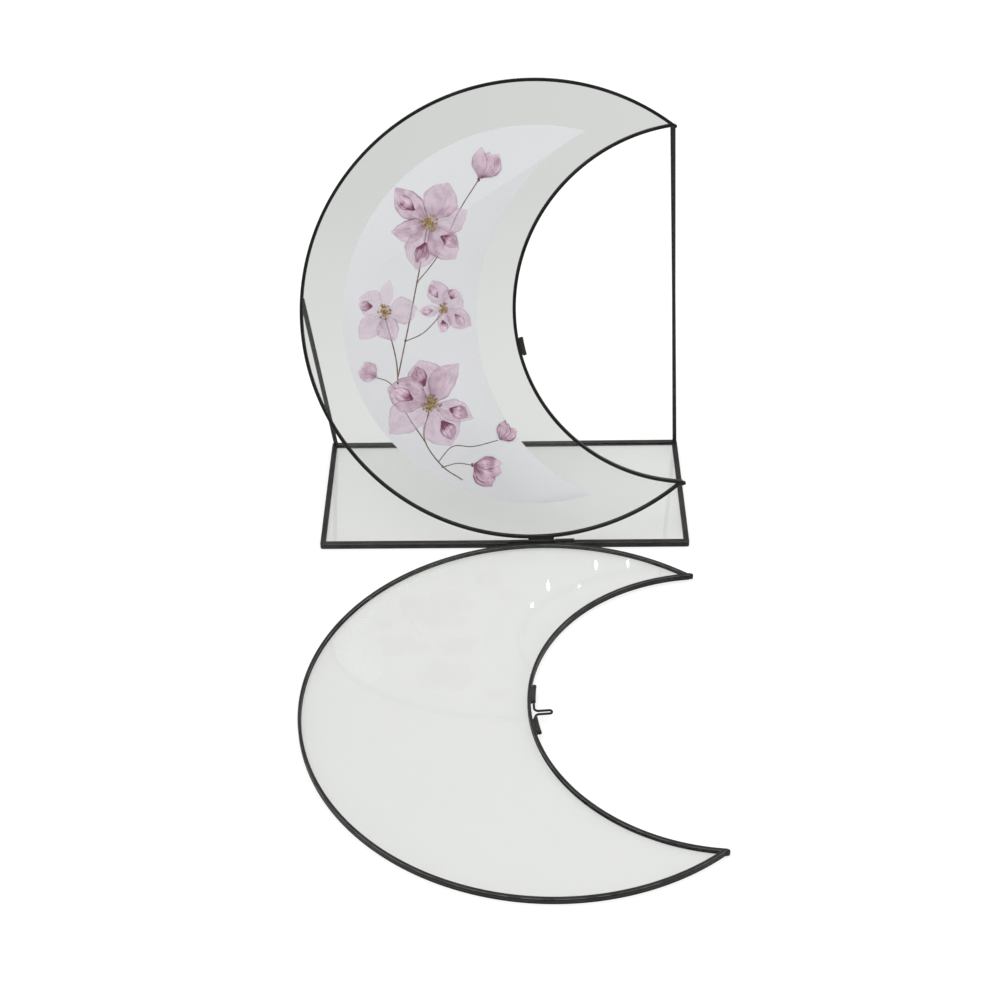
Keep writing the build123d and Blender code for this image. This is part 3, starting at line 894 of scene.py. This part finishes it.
def stayEnds(side):
    row = staySet[side]
    return basePlace @ (Vector(row["foot"]) * mm), panelPlace @ (Vector(row["head"]) * mm)


def standing(low, high):  # at the lower point, with its Z along the run
    up = (high - low).normalized()
    across = (Vector((1, 0, 0)) - up * up.x).normalized()
    turn = Matrix((across, up.cross(across), up)).transposed().to_4x4()
    return Matrix.Translation(low) @ turn


def makeStay(side, values):
    row = values[side]
    low, high = stayEnds(side)
    run = (high - low).length / mm + 2 * values["sink"]
    foot, waist, top = row["wide"]

    def wideAt(share):
        return foot + (waist - foot) * share * 2 if share < 0.5 else waist + (top - waist) * (share * 2 - 1)

    clearPick()
    bpy.ops.mesh.primitive_circle_add(vertices=values["sides"], radius=0.5, fill_type="NGON")
    piece = startEdit("stay" + side.capitalize())
    bpy.ops.transform.resize(value=(wideAt(0), row["thin"], 1), center_override=(0, 0, 0))
    bpy.ops.transform.rotate(value=math.radians(row["twist"] / 2), orient_axis="Z", center_override=(0, 0, 0))
    for step in range(values["steps"]):
        now, then = wideAt(step / values["steps"]), wideAt((step + 1) / values["steps"])
        bpy.ops.mesh.extrude_region_move(TRANSFORM_OT_translate={"value": (0, 0, run / values["steps"])})
        middle = (0, 0, run * (step + 1) / values["steps"])
        bpy.ops.transform.resize(value=(then / now, 1, 1), center_override=middle)
        bpy.ops.transform.rotate(value=-math.radians(row["twist"]) / values["steps"], orient_axis="Z",
                                 center_override=middle)
    closeMesh(piece)
    place(piece, standing(low, high) @ Matrix.Translation((0, 0, -values["sink"] * mm)))
    finishPiece(piece, wireBlack, "frame", ["stay_" + side])


def makeCollars(values):
    blobs = []
    for side in ("right", "left"):
        low, high = stayEnds(side)
        for end, at in (("foot", low), ("head", high)):
            radius, height = values["collar"][end]
            clearPick()
            bpy.ops.mesh.primitive_uv_sphere_add(segments=28, ring_count=18, radius=radius)
            blob = startEdit("collar")
            bpy.ops.transform.resize(value=(1, 1, height), center_override=(0, 0, 0))
            pick("VERT", lambda v: v.co.z > 0)
            bpy.ops.transform.resize(value=(0.9, 0.9, 1.5), center_override=(0, 0, 0))  # wets up the wire
            bpy.ops.object.mode_set(mode="OBJECT")
            roughen(blob, values["collar"]["lumps"], values["collar"]["grain"])
            turn = standing(low, high).to_3x3().to_4x4()
            flip = Matrix.Rotation(math.pi, 4, "X") if end == "head" else Matrix.Identity(4)
            place(blob, Matrix.Translation(at) @ turn @ flip)
            blobs.append(blob)
    piece = joined(blobs, "staySolder")
    bpy.ops.object.shade_smooth()
    finishPiece(piece, solderDark, "frame", ["stay_solder"])


makeStay("right", staySet)
makeStay("left", staySet)
makeCollars(staySet)
print("stays made")

# bolt: one bent wire with a narrow loop for a handle
wireSet = {"low": 100.1, "high": 129.6, "loop": 116.8, "reach": 7.6, "legs": 2.05, "root": 1.9, "radius": 0.54}


def makeBolt(values):
    middle = math.radians(boltAngle(values["loop"]))
    out = Vector((-math.cos(middle), math.sin(middle), 0))
    up = Vector((math.sin(middle), math.cos(middle), 0))
    centre = Vector((boltCentre, 0, 0))
    half, root = values["legs"] / 2, values["root"]

    def onArc(angle):
        return centre + boltRadius * Vector((-math.cos(angle), math.sin(angle), 0))

    def byLoop(inward, along):
        return centre + out * (boltRadius - inward) + up * along

    low, high = (math.radians(boltAngle(values[k])) for k in ("low", "high"))
    reach = (half + root) / boltRadius
    count = 14
    path = [onArc(low + (middle - reach - low) * i / count) for i in range(count + 1)]
    for i in range(1, 9):
        turn = math.radians(90) * i / 8
        path.append(byLoop(root - root * math.cos(turn), -half - root + root * math.sin(turn)))
    end = values["reach"] - half
    path += [byLoop(root + (end - root) * i / 4, -half) for i in range(1, 5)]
    for i in range(1, 12):
        turn = math.radians(180) * i / 12
        path.append(byLoop(end + half * math.sin(turn), -half * math.cos(turn)))
    path += [byLoop(end - (end - root) * i / 4, half) for i in range(0, 5)]
    for i in range(1, 9):
        turn = math.radians(90) * i / 8
        path.append(byLoop(root - root * math.sin(turn), half + root - root * math.cos(turn)))
    path += [onArc(middle + reach + (high - middle - reach) * i / count) for i in range(1, count + 1)]
    piece = wireAlong("latchWire", path, values["radius"], 5)
    closeMesh(piece, 60)
    place(piece, doorPlace @ Matrix.Translation((0, 0, -leafMiddle * mm)))
    finishPiece(piece, wireBlack, "latch_bolt", ["latch_wire"])


def wireAlong(name, path, radius, sides):
    curve = bpy.data.curves.new(name, "CURVE")
    curve.dimensions = "3D"
    line = curve.splines.new("POLY")
    line.points.add(len(path) - 1)
    for point, at in zip(line.points, path):
        point.co = (*at, 1)
    curve.bevel_depth, curve.bevel_resolution, curve.use_fill_caps = radius, sides, True
    holder = bpy.data.objects.new(name, curve)
    bpy.context.scene.collection.objects.link(holder)
    onlyPick(holder)
    bpy.ops.object.convert(target="MESH")
    return bpy.context.object


makeBolt(wireSet)
print("bolt made")

# card: a paper crescent with rounded points, lying on the panel's glass
cardSet = {"disk": 91.2, "diskAt": (0.8, -1.8), "bite": 98.5, "biteAt": (71.68, -3.53), "low": 1.02, "high": 1.3,
           "tipRound": 0.8, "edge": 0.06, "steps": 240}


def makeCard(values):
    thick = values["high"] - values["low"]
    level = (values["high"] + values["low"]) / 2
    clearPick()
    bpy.ops.mesh.primitive_cylinder_add(vertices=values["steps"], radius=values["bite"], depth=3,
                                        location=(*values["biteAt"], level))
    cutter = bpy.context.object
    clearPick()
    bpy.ops.mesh.primitive_cylinder_add(vertices=values["steps"], radius=values["disk"], depth=thick,
                                        location=(*values["diskAt"], level))
    card = bpy.context.object
    useModifier(card, "BOOLEAN", operation="DIFFERENCE", object=cutter, solver="EXACT")
    bpy.data.objects.remove(cutter)
    onlyPick(card)
    startEdit("pictureCard")

    def isTip(edge):
        a, b = edge.verts
        point = spot(edge)
        onBite = abs((point.xy - Vector(values["biteAt"])).length - values["bite"]) < 0.15
        onDisk = abs((point.xy - Vector(values["diskAt"])).length - values["disk"]) < 0.15
        return abs(a.co.z - b.co.z) > thick * 0.5 and onBite and onDisk and abs(point.y) > 60

    pick("EDGE", isTip)
    bpy.ops.mesh.bevel(offset=values["tipRound"], segments=5, profile=0.5)
    pick("EDGE", lambda e: abs(e.verts[0].co.z - e.verts[1].co.z) < 0.01 and e.calc_face_angle(0) > 1.2)
    bpy.ops.mesh.bevel(offset=values["edge"], segments=2, profile=0.5)
    closeMesh(card, 30)
    place(card, panelPlace)
    finishPiece(card, cardPaper, "frame", ["picture_card"])


makeCard(cardSet)

# pressed flowers printed on the card: blooms with pointed petals, buds and thin stems
petalShapes = {
    # half width along the petal in parts of its length, sideways drift
    "broad": ((0.05, 0.10, 0.19, 0.28, 0.34, 0.365, 0.36, 0.325, 0.26, 0.16, 0.02), 0.03),
    "slim": ((0.05, 0.09, 0.15, 0.21, 0.255, 0.27, 0.265, 0.235, 0.18, 0.10, 0.01), -0.05),
    "hooked": ((0.04, 0.10, 0.18, 0.26, 0.31, 0.33, 0.32, 0.28, 0.21, 0.12, 0.01), 0.13),
    "folded": ((0.05, 0.12, 0.20, 0.25, 0.27, 0.26, 0.25, 0.22, 0.17, 0.09, 0.02), -0.12),
}
petalRows = 20


def widthAt(table, share):
    at = min(share * (len(table) - 1), len(table) - 1.001)
    return table[int(at)] + (table[int(at) + 1] - table[int(at)]) * (at - int(at))


def makePetal(name, table, drift):
    clearPick()
    bpy.ops.mesh.primitive_grid_add(x_subdivisions=8, y_subdivisions=petalRows, size=1, location=(0, 0.5, 0))
    piece = startEdit(name)
    for row in range(petalRows + 1):
        share = row / petalRows
        pick("VERT", lambda v: abs(v.co.y - share) < 0.2 / petalRows)
        wide = 2 * widthAt(table, share) * (1 + 0.03 * math.sin(share * 23 + drift * 40))
        bpy.ops.transform.resize(value=(wide, 1, 1), center_override=(0, share, 0))
        bpy.ops.transform.translate(value=(drift * math.sin(share * 2.6), 0, 0))
    # the tip's corners draw back into a point
    pick("VERT", lambda v: abs(v.co.x) > 0.6 * widthAt(table, min(max(v.co.y, 0), 1)) and 0.3 < v.co.y < 0.97)
    bpy.ops.transform.translate(value=(0, -0.012, 0))
    bpy.ops.object.mode_set(mode="OBJECT")
    return piece


bloomSet = (
    # centre, reach, petals, first angle, squash, squash angle, tone
    ((-50.0, -41.0), 23.5, 6, 14, 0.92, 30, 0.34),
    ((-47.0, 46.0), 21.5, 6, 40, 0.88, 110, 0.42),
    ((-70.0, 5.0), 17.0, 5, 65, 0.85, 60, 0.14),
    ((-42.0, 5.0), 14.0, 5, 20, 0.74, 140, 0.20),
)
budSet = (
    # foot, way it points, length, spread, tone
    ((-22.0, 66.0), 62, 15.0, 17, 0.55),
    ((-31.0, -72.0), -28, 14.0, 20, 0.85),
    ((-76.0, -26.5), 150, 9.5, 22, 0.35),
    ((-18.0, -60.0), 48, 10.5, 22, 0.95),
)
stemSet = (
    # points from the cut end up
    ((-37.0, -79.5), (-47.0, -71.5), (-54.5, -58.0), (-51.5, -44.0)),
    ((-54.0, -60.0), (-64.5, -40.0), (-66.0, -18.0), (-70.0, 2.0)),
    ((-65.5, -27.0), (-59.0, -2.0), (-53.0, 22.0), (-48.0, 43.0)),
    ((-61.5, -10.0), (-52.0, -6.0), (-42.5, 3.0)),
    ((-65.8, -34.0), (-70.5, -29.0), (-75.8, -26.8)),
    ((-54.0, 18.0), (-43.0, 31.0), (-33.0, 50.0), (-23.0, 64.5)),
    ((-46.0, -72.5), (-39.0, -71.0), (-32.0, -72.3)),
    ((-48.5, -70.0), (-41.0, -62.5), (-31.0, -63.0), (-19.0, -60.5)),
)
knotSet = (
    # centre, radius
    ((-51.0, -43.0), 0.9), ((-65.8, -30.0), 0.7), ((-61.0, -9.5), 0.65), ((-53.8, 18.5), 0.65),
    ((-46.5, -72.2), 0.6), ((-22.5, 65.2), 0.8), ((-32.0, -72.2), 0.8),
)
printLift = {"stem": 1.325, "petal": 1.345, "layer": 0.006, "stamen": 1.50}
chance = random.Random(11)


def petalCopy(petals, template, reach, wide, angle, centre, tone, squash=None):
    twin = copyOf(template, "petal")
    layer = printLift["petal"] + printLift["layer"] * len(petals)  # each lies over the ones before it
    shape = Matrix.Rotation(math.radians(angle), 4, "Z") @ Matrix.Diagonal((reach * wide, reach, 1, 1))
    if squash:
        turn = Matrix.Rotation(math.radians(squash[1]), 4, "Z")
        shape = turn @ Matrix.Diagonal((1, squash[0], 1, 1)) @ turn.inverted() @ shape
    twin.matrix_world = Matrix.Translation((*centre, layer)) @ shape
    depth = twin.data.attributes.new("tone", "FLOAT", "POINT")
    depth.data.foreach_set("value", [tone] * len(twin.data.vertices))
    petals.append(twin)


def softPath(points, steps=9):  # smooth line through the points
    line = [Vector((*p, 0)) for p in points]
    line = [2 * line[0] - line[1]] + line + [2 * line[-1] - line[-2]]
    path = []
    for a, b, c, d in zip(line, line[1:], line[2:], line[3:]):
        for i in range(steps):
            t = i / steps
            path.append(0.5 * (2 * b + (c - a) * t + (2 * a - 5 * b + 4 * c - d) * t * t
                               + (3 * b - 3 * c + d - a) * t ** 3))
    return path + [line[-2]]


def petalMaterial():
    material, tree, shader = startMaterial("petalInk")
    coords = tree.nodes.new("ShaderNodeTexCoord").outputs
    split = tree.nodes.new("ShaderNodeSeparateXYZ")
    tree.links.new(coords["UV"], split.inputs[0])
    tone = tree.nodes.new("ShaderNodeAttribute")
    tone.attribute_name = "tone"
    veins = tree.nodes.new("ShaderNodeCombineXYZ")
    tree.links.new(addMath(tree, "MULTIPLY", split.outputs["X"], 13.0), veins.inputs["X"])
    tree.links.new(addMath(tree, "MULTIPLY", split.outputs["Y"], 1.4), veins.inputs["Y"])
    tree.links.new(addMath(tree, "MULTIPLY", tone.outputs["Fac"], 31.0), veins.inputs["Z"])
    streak = addRange(tree, addNoise(tree, veins.outputs[0], 1.0, 3), 0.36, 0.66)
    patch = addRange(tree, addNoise(tree, coords["Object"], 210, 2), 0.40, 0.66)
    aside = addMath(tree, "ABSOLUTE", addMath(tree, "SUBTRACT", split.outputs["X"], 0.5), 0)
    rim = addRange(tree, aside, 0.42, 0.5, 0.0, 0.35)
    root = addRange(tree, split.outputs["Y"], 0.0, 0.42, 0.42, 0.0)
    deep = addMath(tree, "ADD", addMath(tree, "MULTIPLY", streak, 0.22), addMath(tree, "MULTIPLY", patch, 0.30))
    deep = addMath(tree, "ADD", addMath(tree, "ADD", deep, rim), root)
    deep = addMath(tree, "MULTIPLY", deep, addMath(tree, "ADD", 0.45, tone.outputs["Fac"]))
    ink = addMix(tree, addRange(tree, deep, 0.08, 0.85), (0.84, 0.65, 0.77, 1), (0.20, 0.055, 0.115, 1))
    tree.links.new(ink, shader.inputs["Base Color"])
    shader.inputs["Roughness"].default_value = 0.6
    shader.inputs["Specular IOR Level"].default_value = 0.2
    tree.links.new(addRange(tree, tone.outputs["Fac"], -0.1, 0.9, 0.24, 0.88), shader.inputs["Alpha"])
    addBump(tree, shader, streak, 0.00002)
    return material


def inkMaterial(name, dark, pale, grain):
    material, tree, shader = startMaterial(name)
    coords = tree.nodes.new("ShaderNodeTexCoord").outputs["Object"]
    patch = addRange(tree, addNoise(tree, coords, grain, 3), 0.38, 0.64)
    tree.links.new(addMix(tree, patch, (*dark, 1), (*pale, 1)), shader.inputs["Base Color"])
    shader.inputs["Roughness"].default_value = 0.65
    shader.inputs["Specular IOR Level"].default_value = 0.2
    addBump(tree, shader, patch, 0.00002)
    return material


def makeFlowers():
    templates = {name: makePetal(name, *row) for name, row in petalShapes.items()}
    names = ("broad", "hooked", "broad", "slim", "folded", "broad")
    petals, dots, threads = [], [], []
    clearPick()
    bpy.ops.mesh.primitive_ico_sphere_add(subdivisions=2, radius=1)
    dot = startEdit("anther")
    bpy.ops.transform.resize(value=(1, 0.7, 0.16), center_override=(0, 0, 0))
    bpy.ops.object.mode_set(mode="OBJECT")
    for centre, reach, count, first, squash, angle, tone in bloomSet:
        for number in range(count):
            turn = first + 360 / count * number + chance.uniform(-9, 9)
            size = reach * chance.uniform(0.86, 1.06)
            shape = templates[names[(number + int(reach)) % len(names)]]
            away = Vector((-math.sin(math.radians(turn)), math.cos(math.radians(turn)))) * reach * 0.05
            at = (centre[0] + away.x, centre[1] + away.y)
            petalCopy(petals, shape, size, chance.uniform(0.95, 1.25), turn, at, tone + chance.uniform(-0.2, 0.2),
                      (squash, angle))
            if chance.random() < 0.55:  # a fold lying back over the petal
                near = Vector((-math.sin(math.radians(turn + 6)), math.cos(math.radians(turn + 6)))) * size * 0.36
                petalCopy(petals, templates["slim"], size * 0.5, 1.2, turn + chance.uniform(-30, 30),
                          (at[0] + near.x, at[1] + near.y), tone + 0.85, (squash, angle))
        for number in range(int(reach * 2.6)):
            turn, size = math.radians(chance.uniform(0, 360)), reach * chance.uniform(0.01, 0.21)
            end = Vector((centre[0] - math.sin(turn) * size, centre[1] + math.cos(turn) * size, printLift["stamen"]))
            bead = copyOf(dot, "anther")
            grain = chance.uniform(0.32, 0.6)
            bead.matrix_world = Matrix.Translation(end) @ Matrix.Rotation(turn, 4, "Z") @ Matrix.Scale(grain, 4)
            dots.append(bead)
            foot = Vector((*centre, printLift["stamen"] - 0.05))
            threads.append(wireAlong("filament", (foot, end - Vector((0, 0, 0.05))), 0.07, 1))
    for foot, way, length, spread, tone in budSet:
        for number in range(4):
            turn = way - 90 + spread * (number - 1.5) * 0.8 + chance.uniform(-4, 4)
            size = length * chance.uniform(0.82, 1.0)
            petalCopy(petals, templates[names[number]], size, 0.95, turn, foot, tone + chance.uniform(-0.15, 0.2))
    petal = joined(petals, "flowerPetals")
    place(petal, panelPlace)
    finishPiece(petal, petalMaterial(), "frame", None)
    for piece in templates.values():
        bpy.data.objects.remove(piece)
    bpy.data.objects.remove(dot)
    anthers = joined(dots, "flowerAnthers")
    onlyPick(anthers)
    bpy.ops.object.shade_smooth()
    place(anthers, panelPlace)
    pollen = inkMaterial("pollenInk", (0.20, 0.115, 0.03), (0.44, 0.30, 0.10), 900)
    finishPiece(anthers, pollen, "frame", None)
    filaments = joined(threads, "flowerFilaments")
    place(filaments, panelPlace)
    threadInk = inkMaterial("filamentInk", (0.36, 0.27, 0.12), (0.55, 0.46, 0.25), 700)
    finishPiece(filaments, threadInk, "frame", None)
    stems = []
    for number, points in enumerate(stemSet):
        stem = wireAlong("stem", softPath(points), 0.30 if number < 3 else 0.23, 3)
        stem.matrix_world = Matrix.Translation((0, 0, printLift["stem"])) @ Matrix.Diagonal((1, 1, 0.08, 1))
        stems.append(stem)
    for centre, radius in knotSet:
        clearPick()
        bpy.ops.mesh.primitive_uv_sphere_add(segments=16, ring_count=10, radius=radius)
        knot = startEdit("stemKnot")
        bpy.ops.transform.resize(value=(0.8, 1.3, 0.06), center_override=(0, 0, 0))
        bpy.ops.object.mode_set(mode="OBJECT")
        knot.matrix_world = Matrix.Translation((*centre, printLift["stem"]))
        stems.append(knot)
    stalk = joined(stems, "flowerStems")
    closeMesh(stalk, 60)
    place(stalk, panelPlace)
    stemInk = inkMaterial("stemInk", (0.11, 0.075, 0.05), (0.22, 0.17, 0.10), 500)
    finishPiece(stalk, stemInk, "frame", None)


makeFlowers()
print("flowers made")
